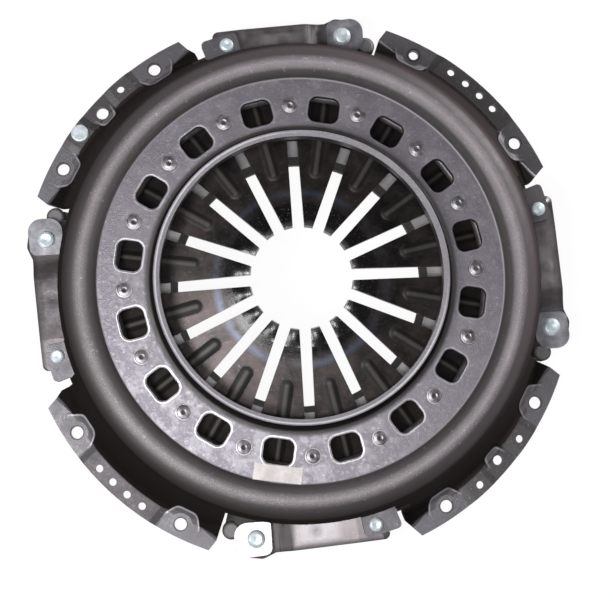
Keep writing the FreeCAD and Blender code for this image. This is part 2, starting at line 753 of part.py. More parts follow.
def make_balance_rivet():
    """Heavy-headed rivet pressed into one balance hole."""
    top = sheet + pad_rise
    rivet = Part.makeCylinder(balance_head_d / 2, balance_head_t, Vec(0, 0, top))
    shank = Part.makeCylinder(balance_hole_d / 2 - rivet_fit, top - pad_rise / 2, Vec(0, 0, pad_rise / 2))
    rivet = rivet.fuse(shank).removeSplitter()
    crown = [edge for edge in rivet.Edges if abs(edge.BoundBox.ZMin - top - balance_head_t) < 1e-6]
    rivet = rivet.makeFillet(balance_head_t * 0.6, crown)
    rivet.translate(polar(balance_circle_r, balance_rivet_angle))
    return rivet


def export(name, shape):
    """Write one node, whether a single solid or a group of solids."""
    solids = shape if isinstance(shape, list) else [shape]
    if len(solids) == 1:
        solids[0].exportStep("parts/" + name + ".step")
    else:
        Part.makeCompound(solids).exportStep("parts/" + name + ".step")
    print(name, len(solids), "solids", round(sum(s.Volume for s in solids) / 1000, 1), "cm3")


export("cover", make_cover())
export("pressure_plate", make_pressure_plate())
export("upper_fulcrum_ring", make_fulcrum_ring(1))
export("lower_fulcrum_ring", make_fulcrum_ring(-1))
export("fulcrum_rivets", make_fulcrum_rivets())

finger = make_finger()
for k in range(finger_count):
    export("spring_finger_%02d" % (k + 1), turned(finger, pitch * (k + 0.5)))

leaves = [strap_leaf(i) for i in range(leaves_per_strap)]
keeper = keeper_plate()
for k in range(bay_count):
    bay_angle = bay_pitch * k
    export("drive_strap_%d" % (k + 1), [turned(leaf, bay_angle) for leaf in leaves])
    export("strap_keeper_%d" % (k + 1), turned(keeper, bay_angle))
export("lug_rivets", make_lug_rivets())
export("shelf_rivets", make_shelf_rivets())
export("balance_rivet", make_balance_rivet())
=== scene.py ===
import bpy
import math
from mathutils import Matrix, Vector


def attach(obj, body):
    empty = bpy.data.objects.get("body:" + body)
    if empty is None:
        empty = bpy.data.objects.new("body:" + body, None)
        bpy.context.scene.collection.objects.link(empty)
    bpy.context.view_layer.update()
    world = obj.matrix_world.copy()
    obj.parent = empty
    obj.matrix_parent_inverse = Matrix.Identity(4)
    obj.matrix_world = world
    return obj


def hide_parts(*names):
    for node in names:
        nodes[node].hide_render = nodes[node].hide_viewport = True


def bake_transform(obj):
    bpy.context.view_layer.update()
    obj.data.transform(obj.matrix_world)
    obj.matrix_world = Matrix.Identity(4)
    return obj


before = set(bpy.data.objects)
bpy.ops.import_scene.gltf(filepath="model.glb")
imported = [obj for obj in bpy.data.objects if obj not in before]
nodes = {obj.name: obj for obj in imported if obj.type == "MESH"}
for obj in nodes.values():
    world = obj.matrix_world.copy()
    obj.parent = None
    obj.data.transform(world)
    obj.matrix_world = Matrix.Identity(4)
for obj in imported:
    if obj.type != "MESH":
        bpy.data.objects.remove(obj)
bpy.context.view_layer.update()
fingerCount = 16
bayCount = 4
halfFinger = math.radians(22.5) / 2
print("frame loaded,", len(nodes), "nodes")


# Shader maths as Python expressions

class Sock:
    # a node's output that adds, scales and fades like a number
    def __init__(self, wiring, out):
        self.wiring = wiring
        self.out = out

    def maths(self, operation, *others):
        return self.wiring.node("Math", {"operation": operation}, [self, *others])

    def part(self, name):
        # another output of the same node
        return Sock(self.wiring, self.out.node.outputs[name])

    def __add__(self, other): return self.maths("ADD", other)
    def __radd__(self, other): return self.maths("ADD", other)
    def __sub__(self, other): return self.maths("SUBTRACT", other)
    def __rsub__(self, other): return self.wiring.value(other).maths("SUBTRACT", self)
    def __mul__(self, other): return self.maths("MULTIPLY", other)
    def __rmul__(self, other): return self.maths("MULTIPLY", other)
    def __truediv__(self, other): return self.maths("DIVIDE", other)
    def __rtruediv__(self, other): return self.wiring.value(other).maths("DIVIDE", self)
    def abs(self): return self.maths("ABSOLUTE")
    def floor(self): return self.maths("FLOOR")
    def sqrt(self): return self.maths("SQRT")
    def cos(self): return self.maths("COSINE")
    def sin(self): return self.maths("SINE")
    def min(self, other): return self.maths("MINIMUM", other)
    def max(self, other): return self.maths("MAXIMUM", other)
    def clamp(self): return self.max(0.0).min(1.0)

    def step(self, start, end):
        # 0 up to start, 1 from end on, in either direction
        return ((self - start) / (end - start)).clamp()

    def band(self, low, high, soft):
        # 1 between low and high, fading over soft at both ends
        rise = ((self - (low - soft / 2)) / soft).clamp()
        fall = (((high + soft / 2) - self) / soft).clamp()
        return rise * fall


class Wiring:
    # a node tree and the ways to add to it
    def __init__(self, tree):
        self.tree = tree

    def value(self, number):
        made = self.tree.nodes.new("ShaderNodeValue")
        made.outputs[0].default_value = number
        return Sock(self, made.outputs[0])

    def node(self, kind, settings, values, out=0):
        made = self.tree.nodes.new("ShaderNode" + kind)
        for name, value in settings.items():
            setattr(made, name, value)
        pairs = values.items() if isinstance(values, dict) else enumerate(values)
        for name, value in pairs:
            self.feed(made.inputs[name], value)
        return Sock(self, made.outputs[out])

    def feed(self, socket, value):
        if isinstance(value, Sock):
            self.tree.links.new(value.out, socket)
        elif socket.type == "RGBA":
            socket.default_value = (*value, 1.0)
        else:
            socket.default_value = value

    def blendColour(self, factor, first, second):
        return self.node("Mix", {"data_type": "RGBA"}, {0: factor, 6: first, 7: second}, out=2)

    def bump(self, height):
        return self.node("Bump", {}, {"Strength": 1.0, "Distance": 1.0, "Height": height})

    def seenRay(self):
        # 1 where the camera sees it directly, in a reflection or through glass
        camera = self.node("LightPath", {}, {}, out="Is Camera Ray")
        return (camera + camera.part("Is Glossy Ray") + camera.part("Is Transmission Ray")).clamp()


mattShader = {"IOR": 1.2, "Specular IOR Level": 0.1, "Roughness": 0.8}


class Finish(Wiring):
    # one material, its shader and its output
    def __init__(self, name, **constants):
        self.material = bpy.data.materials.new(name)
        self.material.use_nodes = True
        super().__init__(self.material.node_tree)
        self.shader = self.tree.nodes["Principled BSDF"]
        self.output = self.tree.nodes["Material Output"]
        self.paint(**constants)

    def paint(self, **inputs):
        for name, value in inputs.items():
            self.feed(self.shader.inputs[name.replace("_", " ")], value)

    def coords(self):
        self.point = self.node("TexCoord", {}, {}, out="Object")
        split = self.node("SeparateXYZ", {}, [self.point])
        x, y, self.z = (split.part(axis) for axis in range(3))
        self.radius = distance(x, y)
        self.angle = y.maths("ARCTAN2", x)
        return self

    def noise(self, scale, detail, roughness):
        return self.node("TexNoise", {}, {"Vector": self.point, "Scale": scale,
                                          "Detail": detail, "Roughness": roughness})

    def noises(self, look, *names):
        return [self.noise(*look[name + "Noise"]) for name in names]

    def repeatedAngle(self, count, offset):
        # angle from the nearest of count places round the axis, in radians
        turn = (self.angle - offset) * (count / (2 * math.pi)) + 0.5
        return (turn - turn.floor() - 0.5) * (2 * math.pi / count)

    def turned(self, turn):
        # distances along and across the radius that the turn is measured from
        return self.radius * turn.cos(), self.radius * turn.sin()

    def layered(self, body, look, masks, table):
        # colours laid over each other, each through a share of its mask
        for mask, share, colour in look[table]:
            body = self.blendColour(masks[mask] * share, body, look[colour])
        return body

    def dullWhere(self, mask, colour, relief):
        # a second, matt shader with the same colour where the mask is 1
        matt = self.node("BsdfPrincipled", {}, {**mattShader, "Base Color": colour,
                                                "Normal": self.bump(relief)})
        mix = self.node("MixShader", {}, [mask, Sock(self, self.shader.outputs[0]), matt])
        self.tree.links.new(mix.out, self.output.inputs[0])

    def onto(self, *names):
        for name in names:
            mesh = nodes[name].data
            mesh.materials.clear()
            mesh.materials.append(self.material)


def distance(u, v):
    return (u * u + v * v).sqrt()


def summed(masks, table, level=0.0):
    # a level and the masks of the table, each times its own amount
    for mask, amount in table.items():
        level = level + masks[mask] * amount
    return level


def widest(masks, table):
    # the strongest of the table's masks, each times its own share
    found = None
    for mask, share in table.items():
        shared = masks[mask] * share
        found = found.max(shared) if found else shared
    return found


def roundedDistance(u, v, halfU, halfV, corner):
    # distance outside a rounded rectangle, negative inside
    du = u.abs() - (halfU - corner)
    dv = v.abs() - (halfV - corner)
    return distance(du.max(0.0), dv.max(0.0)) + du.max(dv).min(0.0) - corner


# Cover: one dark phosphated pressing, with a pale band on its crown that is partly wear and partly a painted
# highlight, and painted light and shade on its sides, walls, windows and flange.
# A Fade is where a mask is 0 and where it is 1, a Band is its two ends and its softness,
# a Noise is scale, detail and roughness, and a Turn is in degrees. Lengths are in metres.

# Several colours below stand in for light: the colours for the crown's outer side, for shade, for the bend
# and for the window walls are painted shade; dark is the body's own tone and also painted shade on the
# crown's inner side; the pad rim, bright and lit colours are painted light; crest, edge and the ring's
# smudges are partly wear and partly painted highlight or sheen.
coverLook = {
    "dark": (0.0105, 0.0080, 0.0084), "warm": (0.0230, 0.0176, 0.0180),
    "wall": (0.0330, 0.0255, 0.0260), "crown": (0.0450, 0.0350, 0.0375),
    "ring": (0.142, 0.129, 0.150), "smudge": (0.380, 0.365, 0.400),
    "crest": (0.315, 0.278, 0.300), "shade": (0.0085, 0.0068, 0.0066),
    "line": (0.62, 0.60, 0.64), "bright": (0.86, 0.85, 0.88), "pad": (0.110, 0.103, 0.113),
    "slope": (0.0190, 0.0148, 0.0150), "lit": (0.0620, 0.0470, 0.0510),
    "flange": (0.135, 0.128, 0.140), "edge": (0.66, 0.63, 0.68), "sheared": (0.142, 0.134, 0.147),
    "hollow": (0.0045, 0.0042, 0.0042), "bend": (0.0080, 0.0071, 0.0074),

    "fineNoise": (900.0, 3.0, 0.7), "gritNoise": (330.0, 4.0, 0.75), "cloudNoise": (22.0, 4.0, 0.6),
    "patchNoise": (75.0, 3.0, 0.6), "sparkNoise": (240.0, 7.0, 0.82),
    "speckFade": (0.60, 0.74), "fleckFade": (0.60, 0.72), "sparkFade": (0.62, 0.68),
    "wipeFade": (0.48, 0.62), "scuffFade": (0.52, 0.64),

    "lightTurn": 40, "glareTurn": 238, "glareFade": (0.25, 0.95),
    "topFade": (0.0590, 0.0598), "ringInsideFade": (0.1262, 0.1290), "ringOutsideFade": (0.1670, 0.1656),
    "lipBand": (0.1144, 0.1196, 0.0003), "lipTopFade": (0.0784, 0.0788),
    "lipMiddle": 0.1170, "lipTilt": 0.13,
    "lipCornerBand": (0.1174, 0.1185, 0.0008), "lipCornerSideFade": (0.75, 0.30),
    "bendBand": (0.1190, 0.1250, 0.0012), "bendTopFade": (0.0603, 0.0611),
    "shelfFade": (0.2000, 0.2012), "shelfBand": (0.0370, 0.0388, 0.0008),
    "shelfAngleBand": (0.186, 0.335, 0.004),
    "seatFade": (0.2130, 0.2145), "seatTopFade": (0.0062, 0.0057),
    "flangeFade": (0.2196, 0.2212), "flangeTopFade": (0.0085, 0.0070),
    "wallFade": (0.1890, 0.1960), "crownBand": (0.1690, 0.1900, 0.0060),
    "peak": 0.1802, "peakFade": (0.0064, 0.0002),
    "innerSlopeBand": (0.1668, 0.1740, 0.0026), "outerSlopeFade": (0.1830, 0.1935),
    "litSlopeFade": (0.1840, 0.1935), "slopeEndFade": (0.2010, 0.1970),

    "windowCircle": 0.1415, "windowShape": (0.0105, 0.0125, 0.0065),
    "windowFade": (0.0010, 0.0004), "windowTopFade": (0.0599, 0.0597), "windowEdgeFade": (0.0008, 0.0002),
    "rolledBand": (0.0000, 0.0018, 0.0007), "rimFade": (0.0014, 0.0001), "rimDepth": 0.0007,
    "outerLineBand": (0.1662, 0.1672, 0.0010),

    "sectorTurn": 45, "middleTurn": 135, "middleCount": 2,
    "sideRampBand": (0.1640, 0.1880, 0.008), "middleRampBand": (0.0530, 0.0730, 0.006),
    "raisedFade": (0.1760, 0.1640), "boltCircle": 0.2250, "sidePadTurn": 15,
    "sidePad": (0.0146, 0.0090, 0.0075), "middlePad": (0.0108, 0.0072, 0.0035),
    "padWidening": 0.0120, "padRounding": 0.0060, "padTopFade": (0.0330, 0.0260),
    "padFade": (0.0004, -0.0008), "padRimBand": (-0.0014, 0.0000, 0.0010), "padRimEndFade": (0.2260, 0.2200),
    "padShadeBand": (0.0000, 0.0024, 0.0016), "padShadeEndFade": (0.2250, 0.2190),
    "holeRimBand": (0.0048, 0.0061, 0.0008),
    "flareAngleFade": (0.295, 0.310), "flareFootFade": (0.0060, 0.0070),
    "flareTopFade": (0.0300, 0.0230), "flareEndFade": (0.2260, 0.2200),
    "relief": 0.00022,

    # how much of each mask goes into a colour, a level or another mask
    "crestLevel": 0.62, "crestWear": {"lightSide": 0.24, "cloud": 0.5, "patch": 0.4, "fine": 0.9},
    "farGain": 1.5, "wipeShares": {"wiped": 0.5, "scuffed": 0.35, "spark": 0.5}, "wipeLight": (0.22, 0.90),
    "fleckShares": {"ring": 0.30, "crest": 0.4, "flange": 0.2}, "speckShares": {"ring": 0.25, "crest": 0.9},
    "sparkShares": {"crest": 0.9, "crown": 0.35}, "lipShares": {"lipCorner": 0.55, "lipSpark": 0.5},
    "padRimLight": (0.15, 0.40), "rolledLight": (0.30, 0.35), "rolledPatch": (0.4, 0.8),
    # most of these layers paint shade, on the crown's inner and outer sides, the far wall, the ramps, the
    # flange towards the side lamp, the flared ends and beside pads and holes; the lit side and the pad rims
    # are painted light
    "underCoat": (("crown", 0.8, "crown"), ("innerSlope", 0.7, "dark"), ("wall", 1.0, "wall"),
                  ("outerSlope", 0.8, "slope"), ("litSlope", 1.0, "lit"), ("farWall", 1.0, "shade"),
                  ("flange", 1.0, "flange"), ("raised", 0.55, "wall"), ("ramp", 0.85, "shade"),
                  ("nearFlange", 0.35, "shade"), ("flare", 1.0, "shade"), ("padWall", 0.9, "pad"),
                  ("padShade", 0.7, "shade"), ("padRim", 1.0, "line"), ("holeRim", 0.7, "shade")),
    # here the crest and the specks are partly wear and partly painted highlight, the lip, the ring's outer
    # edge and the window rims get painted highlights, and the bend and the window walls painted shade
    "topCoat": (("crest", 1.0, "crest"), ("flecks", 1.0, "edge"), ("bend", 1.0, "bend"),
                ("lip", 1.0, "sheared"), ("lipWear", 1.0, "edge"), ("outerLine", 0.45, "edge"),
                ("rolledWear", 1.0, "bright"), ("window", 1.0, "hollow")),
    "metal": {"ring": 0.60, "cleanFlange": 0.75, "crest": 0.45, "lip": 0.45, "rolled": 0.4},
    "roughLevel": 0.52, "rough": {"ring": -0.08, "lip": -0.10, "patchy": 0.40, "fleck": -0.08},
    "crownCalm": 0.6, "padGloss": 0.6,
    "dull": {"wall": 1.0, "window": 1.0, "bend": 1.0, "innerSlope": 0.65, "outerSlope": 0.75,
             "litSlope": 0.6, "flare": 1.0},
}


def padOutline(f, turn, look, reach, narrow, spread):
    # distance outside the pad round a flange hole
    u, v = f.turned(turn)
    u = u - look["boltCircle"]
    halfWide = ((u + reach) / look["padWidening"]).clamp() * spread + narrow
    return (v.abs() - halfWide).maths("SMOOTH_MAX", -reach - u, look["padRounding"])


def makeCoverFinish():
    look = coverLook
    f = Finish("coverPhosphate", IOR=1.62).coords()
    fine, grit, cloud, patch, sparkle = f.noises(look, "fine", "grit", "cloud", "patch", "spark")
    speck = fine.step(*look["speckFade"])
    fleck = grit.step(*look["fleckFade"])
    spark = sparkle.step(*look["sparkFade"])
    # lightSide, farSide and nearSide turn towards and away from the side lamp, and glare turns towards the
    # soft lamp; they steer the painted light and shade below
    lightSide = (f.angle - math.radians(look["lightTurn"])).cos()
    farSide = 0.5 - lightSide * 0.5
    nearSide = 1 - farSide
    glare = (f.angle - math.radians(look["glareTurn"])).cos().step(*look["glareFade"])
    on = {"lightSide": lightSide, "cloud": cloud - 0.5, "patch": patch - 0.5, "fine": fine - 0.5,
          "fleck": fleck, "spark": spark}

    # ring, lip and crown
    onTop = f.z.step(*look["topFade"])
    onRing = f.radius.step(*look["ringInsideFade"]) * f.radius.step(*look["ringOutsideFade"]) * onTop
    onLip = f.radius.band(*look["lipBand"]) * f.z.step(*look["lipTopFade"])
    # the bend beyond the lip is painted near-black as shade
    onBend = f.radius.band(*look["bendBand"]) * f.z.step(*look["bendTopFade"]) * (1 - onLip)
    # the pale band along the crown's crest is partly worn metal and partly a painted highlight, brighter
    # towards the side lamp
    peak = (f.radius - look["peak"]).abs().step(*look["peakFade"])
    crest = peak * summed(on, look["crestWear"], look["crestLevel"]).clamp()
    onCrown = f.radius.band(*look["crownBand"])
    # painted shade on the crown's inner side, in the dark colour, strongest towards the side lamp
    innerSlope = f.radius.band(*look["innerSlopeBand"]) * (0.5 + lightSide * 0.5) * (1 - onRing)
    # painted shade on the crown's outer side away from the side lamp, and painted light on it towards the
    # side lamp
    slopeEnd = f.radius.step(*look["slopeEndFade"])
    outerSlope = f.radius.step(*look["outerSlopeFade"]) * slopeEnd * (farSide * look["farGain"]).clamp()
    litSlope = f.radius.step(*look["litSlopeFade"]) * slopeEnd * nearSide
    # painted highlight on the lip's corner, on the side away from the side lamp
    lipCorner = f.radius.band(*look["lipCornerBand"]) * onLip * lightSide.step(*look["lipCornerSideFade"])
    # painted highlight along the ring's outer edge, on the side towards the side lamp
    outerLine = f.radius.band(*look["outerLineBand"]) * nearSide * onTop
    on.update(ring=onRing, lip=onLip, bend=onBend, crest=crest, crown=onCrown, innerSlope=innerSlope,
              outerSlope=outerSlope, litSlope=litSlope, lipCorner=lipCorner,
              lipSpark=(speck + spark) * onLip, outerLine=outerLine)

    # windows: their cut walls, and their edges towards the side lamp, are painted near-black as shade, and
    # their rolled rims get a painted highlight away from the side lamp
    u, v = f.turned(f.repeatedAngle(fingerCount, halfFinger))
    windowGap = roundedDistance(u - look["windowCircle"], v, *look["windowShape"])
    inWindow = windowGap.step(*look["windowFade"]) * f.z.step(*look["windowTopFade"]) * onRing
    inWindow = inWindow.max(windowGap.step(*look["windowEdgeFade"]) * nearSide * onTop)
    rolled = windowGap.band(*look["rolledBand"]) * onTop * farSide
    rim = windowGap.step(*look["rimFade"])
    on.update(window=inWindow, rolled=rolled)

    # flange, strap shelves and wall
    bayTurn = f.repeatedAngle(bayCount, 0)
    onShelf = (f.radius.step(*look["shelfFade"]) * f.z.band(*look["shelfBand"])
               * bayTurn.band(*look["shelfAngleBand"]))
    onSeat = f.z.step(*look["seatTopFade"]) * f.radius.step(*look["seatFade"])
    onFlange = f.radius.step(*look["flangeFade"]) * f.z.step(*look["flangeTopFade"])
    onFlange = onFlange.max(onSeat).max(onShelf)
    onWall = f.radius.step(*look["wallFade"]) * (1 - onFlange)
    # painted shade on the wall away from the side lamp and on the flange towards it
    on.update(flange=onFlange, nearFlange=onFlange * nearSide, wall=onWall, farWall=onWall * farSide)

    # the sectors of the flange, from their middles: ramps, pads and flared ends; the ramps and flared ends
    # get painted shade
    sector = f.repeatedAngle(bayCount, math.radians(look["sectorTurn"])).abs()
    middle = f.repeatedAngle(look["middleCount"], math.radians(look["middleTurn"])).abs()
    ramp = sector.band(*look["sideRampBand"]).max(middle.band(*look["middleRampBand"])) * onFlange
    raised = sector.step(*look["raisedFade"]) * onFlange
    sideTurn = sector - math.radians(look["sidePadTurn"])
    sidePad = padOutline(f, sideTurn, look, *look["sidePad"])
    padGap = sidePad.min(padOutline(f, middle, look, *look["middlePad"]))
    low = f.z.step(*look["padTopFade"])
    pad = padGap.step(*look["padFade"]) * low
    # a painted highlight round the pads, stronger away from the side lamp, and painted shade beside the pads
    # and round the holes
    padRim = padGap.band(*look["padRimBand"]) * low * f.radius.step(*look["padRimEndFade"])
    padShade = padGap.band(*look["padShadeBand"]) * low * f.radius.step(*look["padShadeEndFade"])
    u, v = f.turned(sideTurn)
    holeRim = distance(u - look["boltCircle"], v).band(*look["holeRimBand"]) * onFlange
    flare = (sector.step(*look["flareAngleFade"]) * f.z.step(*look["flareFootFade"])
             * f.z.step(*look["flareTopFade"]) * f.radius.step(*look["flareEndFade"]))
    padLight, padFar = look["padRimLight"]
    on.update(ramp=ramp, cleanFlange=onFlange * (1 - ramp), raised=raised, padWall=pad * (1 - onFlange),
              padRim=padRim * (padLight + farSide * padFar), padShade=padShade, holeRim=holeRim, flare=flare)

    # wear, and painted sheen, glints and highlights
    wipeLight, wipeGlare = look["wipeLight"]
    on.update(wiped=patch.step(*look["wipeFade"]), scuffed=grit.step(*look["scuffFade"]))
    # pale smudges on the ring: partly wiped marks, partly a painted sheen strongest on the soft lamp's side
    wipe = (summed(on, look["wipeShares"]) * (wipeLight + glare * wipeGlare)).clamp()
    # pale specks on the ring, crest and flange: partly specks in the coating, partly painted glints
    flecks = (fleck * summed(on, look["fleckShares"]) + speck * summed(on, look["speckShares"])
              + spark * summed(on, look["sparkShares"])).clamp()
    # painted highlights on the rolled window rims, strongest on the soft lamp's side, and on the lip with
    # painted glints
    rolledLight, rolledGlare = look["rolledLight"]
    patchMiddle, patchSwing = look["rolledPatch"]
    rolledWear = (rolledLight + glare * rolledGlare + (patch - patchMiddle) * patchSwing).clamp()
    on.update(flecks=flecks, lipWear=summed(on, look["lipShares"]).clamp(), rolledWear=rolled * rolledWear,
              patchy=(patch - 0.5) * (1 - onCrown * look["crownCalm"]))

    body = f.blendColour(cloud, look["dark"], look["warm"])
    body = f.layered(body, look, on, "underCoat")
    body = f.blendColour(onRing, body, f.blendColour(wipe, look["ring"], look["smudge"]))
    body = f.layered(body, look, on, "topCoat")
    shine = (summed(on, look["metal"]) * (1 - inWindow) * (1 - flare) * (1 - litSlope)).clamp()
    rough = summed(on, look["rough"], look["roughLevel"])
    relief = (fine - 0.5) * look["relief"] + (grit - 0.5) * look["relief"]
    relief = relief - rim * rim * look["rimDepth"] * onTop * farSide
    relief = relief + (f.radius - look["lipMiddle"]) * look["lipTilt"] * onLip
    f.paint(Base_Color=body, Metallic=shine, Roughness=rough, Normal=f.bump(relief))
    f.dullWhere(widest(on, look["dull"]) * (1 - pad * look["padGloss"]), body, relief)
    f.onto("cover")


# Spring: hardened dark steel, tempered blue near the tips

springLook = {
    "dark": (0.020, 0.018, 0.019), "brown": (0.068, 0.056, 0.054), "crest": (0.044, 0.037, 0.033),
    "flank": (0.0030, 0.0028, 0.0028), "soot": (0.0050, 0.0045, 0.0042), "tint": (0.100, 0.122, 0.175),
    "speck": (0.30, 0.29, 0.29), "root": (0.004, 0.0036, 0.004), "tip": (0.15, 0.142, 0.142),

    "cloudNoise": (60.0, 4.0, 0.65), "broadNoise": (17.0, 3.0, 0.55),
    "gritNoise": (420.0, 4.0, 0.7), "fineNoise": (1100.0, 2.0, 0.6),
    "stainFade": (0.38, 0.62), "gritFade": (0.58, 0.70), "speckFade": (0.66, 0.74), "tintFade": (0.36, 0.60),
    "beadEnds": (0.0885, 0.1500), "crestFade": (0.0023, 0.0005), "flankFade": (0.0068, 0.0036),
    "wornFade": (0.0475, 0.0435), "rootBand": (0.0410, 0.0640, 0.0060),
    "tintBand": (0.0680, 0.0722, 0.0050), "coveredFade": (0.1240, 0.1285),
    "noseStart": 0.0520, "noseLength": 0.0070, "noseDrop": 0.0008,
    "roundingFade": (0.0570, 0.0500), "rounding": 30.0, "fineRelief": 0.00004, "gritRelief": 0.00008,

    # crestBare is how far the crests escape the painted shade under the cover, in colour and in shine
    "crestBare": (0.55, 0.5), "stain": {"cloud": 0.55, "broad": 0.45}, "tintWander": 0.004,
    "coats": (("grit", 0.18, "speck"), ("root", 0.92, "root"), ("tint", 0.75, "tint"),
              ("rootSpeck", 0.8, "speck"), ("flank", 0.92, "flank"), ("crest", 0.80, "crest"),
              ("worn", 0.30, "tip"), ("soot", 0.8, "soot")),
    "metalLevel": 0.85, "metal": {"crest": -0.70, "flank": -0.6, "root": -0.65},
    "roughLevel": 0.40, "rough": {"root": -0.18, "sway": 0.22, "flank": 0.20, "crest": 0.14, "worn": -0.04},
    "dull": 0.85,
}


def makeSpringFinish():
    look = springLook
    f = Finish("springSteel", IOR=1.45).coords()
    cloud, broad, grit, fine = f.noises(look, "cloud", "broad", "grit", "fine")
    along, across = f.turned(f.repeatedAngle(fingerCount, halfFinger))
    beadStart, beadEnd = look["beadEnds"]
    bead = distance(across, along - along.max(beadStart).min(beadEnd))
    crest = bead.step(*look["crestFade"])
    # the spring under the cover's ring is painted dark as shade and made matt, all but the bead crests
    root = f.radius.band(*look["rootBand"])
    covered = f.radius.step(*look["coveredFade"])
    nose = (f.radius - look["noseStart"]).min(0.0) * (1 / look["noseLength"])
    tint = (f.radius + (cloud - 0.5) * look["tintWander"]).band(*look["tintBand"])
    colourBare, shineBare = look["crestBare"]
    # the sides of each bead beside its crest are painted near-black as shade
    on = {"cloud": cloud, "broad": broad, "sway": cloud - 0.5, "crest": crest, "root": root,
          "flank": bead.step(*look["flankFade"]) * (1 - crest), "worn": f.radius.step(*look["wornFade"]),
          "grit": grit.step(*look["gritFade"]), "tint": tint * broad.step(*look["tintFade"]),
          "rootSpeck": fine.step(*look["speckFade"]) * root, "soot": covered * (1 - crest * colourBare)}
    stain = summed(on, look["stain"]).step(*look["stainFade"])
    body = f.layered(f.blendColour(stain, look["dark"], look["brown"]), look, on, "coats")
    relief = (fine - 0.5) * look["fineRelief"] + (grit - 0.5) * look["gritRelief"]
    relief = relief - nose * nose * look["noseDrop"]
    relief = relief - across * across * f.radius.step(*look["roundingFade"]) * look["rounding"]
    f.paint(Base_Color=body, Metallic=summed(on, look["metal"], look["metalLevel"]).clamp(),
            Roughness=summed(on, look["rough"], look["roughLevel"]), Normal=f.bump(relief))
    f.dullWhere(covered * (1 - crest * shineBare) * look["dull"], body, relief)
    f.onto(*[name for name in nodes if name.startswith("spring_finger")])


# Casting: rough iron with a turned land round its bore

castLook = {
    "dark": (0.010, 0.009, 0.009), "rust": (0.034, 0.028, 0.025), "land": (0.440, 0.425, 0.440),
    "roughNoise": (260.0, 4.0, 0.7), "cloudNoise": (55.0, 3.0, 0.6),
    "boreBand": (0.1085, 0.1222, 0.0006), "boreTopFade": (0.0212, 0.0218),
    "bossFade": (0.2030, 0.2040), "bossTopFade": (0.0166, 0.0176),
    "toolMarks": 9000.0, "toolDepth": 0.000008, "roughDepth": 0.0005,
    "bossShare": 0.35, "landLevel": 0.75, "landSway": 0.9, "landMetal": 0.45, "roughSpan": (0.66, -0.20),
}


def makeCastFinish():
    look = castLook
    f = Finish("castIron", IOR=1.5).coords()
    rough, cloud = f.noises(look, "rough", "cloud")
    bore = f.radius.band(*look["boreBand"]) * f.z.step(*look["boreTopFade"])
    boss = f.radius.step(*look["bossFade"]) * f.z.step(*look["bossTopFade"])
    land = bore.max(boss * look["bossShare"])
    roughLevel, landRough = look["roughSpan"]
    rings = (f.radius * look["toolMarks"]).sin()
    body = f.blendColour(rough, look["dark"], look["rust"])
    clean = land * (look["landLevel"] + (cloud - 0.5) * look["landSway"]).clamp()
    body = f.blendColour(clean, body, look["land"])
    relief = (rough - 0.5) * (1 - land) * look["roughDepth"] + rings * land * look["toolDepth"]
    f.paint(Base_Color=body, Metallic=land * look["landMetal"], Roughness=roughLevel + land * landRough,
            Normal=f.bump(relief))
    f.onto("pressure_plate")


# Keepers, rivets and wire rings

steelLook = {
    "keeperSteel": {"low": (0.165, 0.162, 0.180), "high": (0.345, 0.340, 0.370),
                    "metal": 0.62, "rough": 0.34, "blotch": 70.0},
    "zincPlate": {"low": (0.43, 0.48, 0.52), "high": (0.60, 0.66, 0.70),
                  "metal": 0.35, "rough": 0.42, "blotch": 180.0},
    "fulcrumRivetSteel": {"low": (0.130, 0.121, 0.134), "high": (0.300, 0.288, 0.310),
                          "metal": 0.75, "rough": 0.40, "blotch": 220.0},
    "wireSteel": {"low": (0.040, 0.037, 0.037), "high": (0.095, 0.090, 0.090),
                  "metal": 0.50, "rough": 0.42, "blotch": 90.0},
}
grainLook = {"fineNoise": (1300.0, 2.0, 0.6), "cloudGrain": (4.0, 0.62), "patchFade": (0.38, 0.62),
             "shares": {"cloud": 0.75, "fine": 0.25},
             "fineRelief": 0.00004, "cloudRelief": 0.0001, "sway": 0.28}
domeLook = {"circle": 0.1444, "slopeFade": (0.0062, 0.0014), "pitFade": (0.0026, 0.0008),
            "height": 0.0011, "depth": 0.0010, "pit": (0.020, 0.018, 0.019), "pitShare": 0.6}


def makeSteelFinish(name, *wearers, domed=False):
    look = steelLook[name]
    f = Finish(name, IOR=1.6, Metallic=look["metal"]).coords()
    cloud = f.noise(look["blotch"], *grainLook["cloudGrain"])
    fine = f.noise(*grainLook["fineNoise"])
    patch = summed({"cloud": cloud, "fine": fine}, grainLook["shares"]).step(*grainLook["patchFade"])
    body = f.blendColour(patch, look["low"], look["high"])
    relief = (fine - 0.5) * grainLook["fineRelief"] + (cloud - 0.5) * grainLook["cloudRelief"]
    if domed:
        outward, sideways = f.turned(f.repeatedAngle(fingerCount, 0))
        centre = distance(outward - domeLook["circle"], sideways)
        # the rivet's centre pit is darkened as painted shade
        pit = centre.step(*domeLook["pitFade"])
        relief = relief + centre.step(*domeLook["slopeFade"]) * domeLook["height"] - pit * domeLook["depth"]
        body = f.blendColour(pit * domeLook["pitShare"], body, domeLook["pit"])
    f.paint(Base_Color=body, Roughness=look["rough"] + (cloud - 0.5) * grainLook["sway"],
            Normal=f.bump(relief))
    f.onto(*wearers)


makeCoverFinish()
makeSpringFinish()
makeCastFinish()
makeSteelFinish("keeperSteel", *["strap_keeper_%d" % number for number in range(1, bayCount + 1)])
makeSteelFinish("zincPlate", "lug_rivets", "shelf_rivets", "balance_rivet")
makeSteelFinish("fulcrumRivetSteel", "fulcrum_rivets", domed=True)
makeSteelFinish("wireSteel", "upper_fulcrum_ring", "lower_fulcrum_ring")
print("finishes made")


